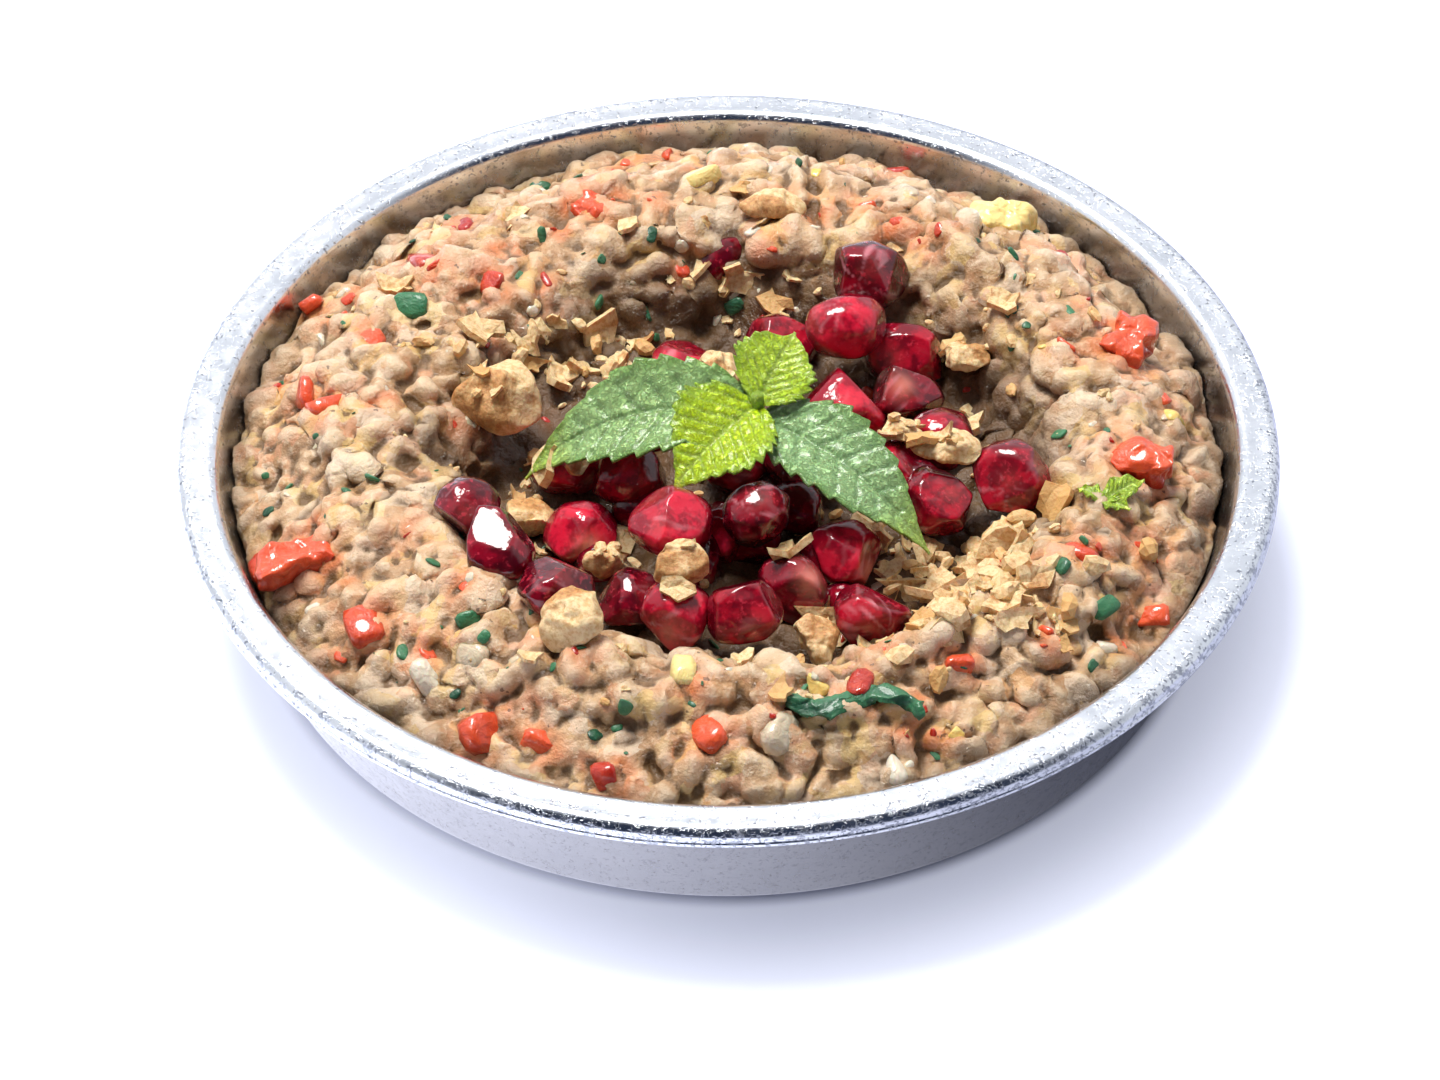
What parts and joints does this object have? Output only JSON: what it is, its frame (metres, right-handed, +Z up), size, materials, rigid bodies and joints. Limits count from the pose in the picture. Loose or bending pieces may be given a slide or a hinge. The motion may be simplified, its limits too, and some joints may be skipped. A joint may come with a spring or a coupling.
{
  "type": "baba ganoush in a dish",
  "caption": "Coarse aubergine dip heaped round a well in a shallow flared metal dish, topped with pomegranate arils, walnut pieces and a mint sprig.",
  "frame": {"origin": "centre of the dish's foot, on the surface it stands on", "axes": "+Z up, along the dish's axis of turning; +X to the right of the shown side, which faces -Y"},
  "size_m": [0.13, 0.13, 0.0347],
  "materials": {
    "aluminium": "worn satin spun aluminium",
    "dip": "moist, coarse aubergine pulp",
    "pomegranate": "wet, translucent red flesh",
    "walnut": "dry, matt kernel with brown skin",
    "red_pepper": "moist, cooked pepper",
    "yellow_pepper": "moist, cooked pepper",
    "herb": "wilted, moist herb leaf",
    "mint": "fresh leaf with a soft sheen"
  },
  "bodies": {
    "root": {"aril_01": "pomegranate", "aril_02": "pomegranate", "aril_03": "pomegranate", "aril_04": "pomegranate", "aril_05": "pomegranate", "aril_06": "pomegranate", "aril_07": "pomegranate", "aril_08": "pomegranate", "aril_09": "pomegranate", "aril_10": "pomegranate", "aril_11": "pomegranate", "aril_12": "pomegranate", "aril_13": "pomegranate", "aril_14": "pomegranate", "aril_15": "pomegranate", "aril_16": "pomegranate", "aril_17": "pomegranate", "aril_18": "pomegranate", "aril_19": "pomegranate", "aril_20": "pomegranate", "aril_21": "pomegranate", "aril_22": "pomegranate", "aril_23": "pomegranate", "aril_24": "pomegranate", "aril_25": "pomegranate", "aril_26": "pomegranate", "aril_27": "pomegranate", "aril_28": "pomegranate", "aril_29": "pomegranate", "baba_ganoush": "dip", "dish": "aluminium", "herb_strip": "herb", "mint_sprig": "mint", "red_pepper_1": "red_pepper", "red_pepper_2": "red_pepper", "red_pepper_3": "red_pepper", "red_pepper_4": "red_pepper", "walnut_01": "walnut", "walnut_02": "walnut", "walnut_03": "walnut", "walnut_04": "walnut", "walnut_05": "walnut", "walnut_06": "walnut", "walnut_07": "walnut", "walnut_08": "walnut", "walnut_09": "walnut", "walnut_10": "walnut", "walnut_11": "walnut", "walnut_12": "walnut", "yellow_pepper": "yellow_pepper"}
  },
  "joints": []
}
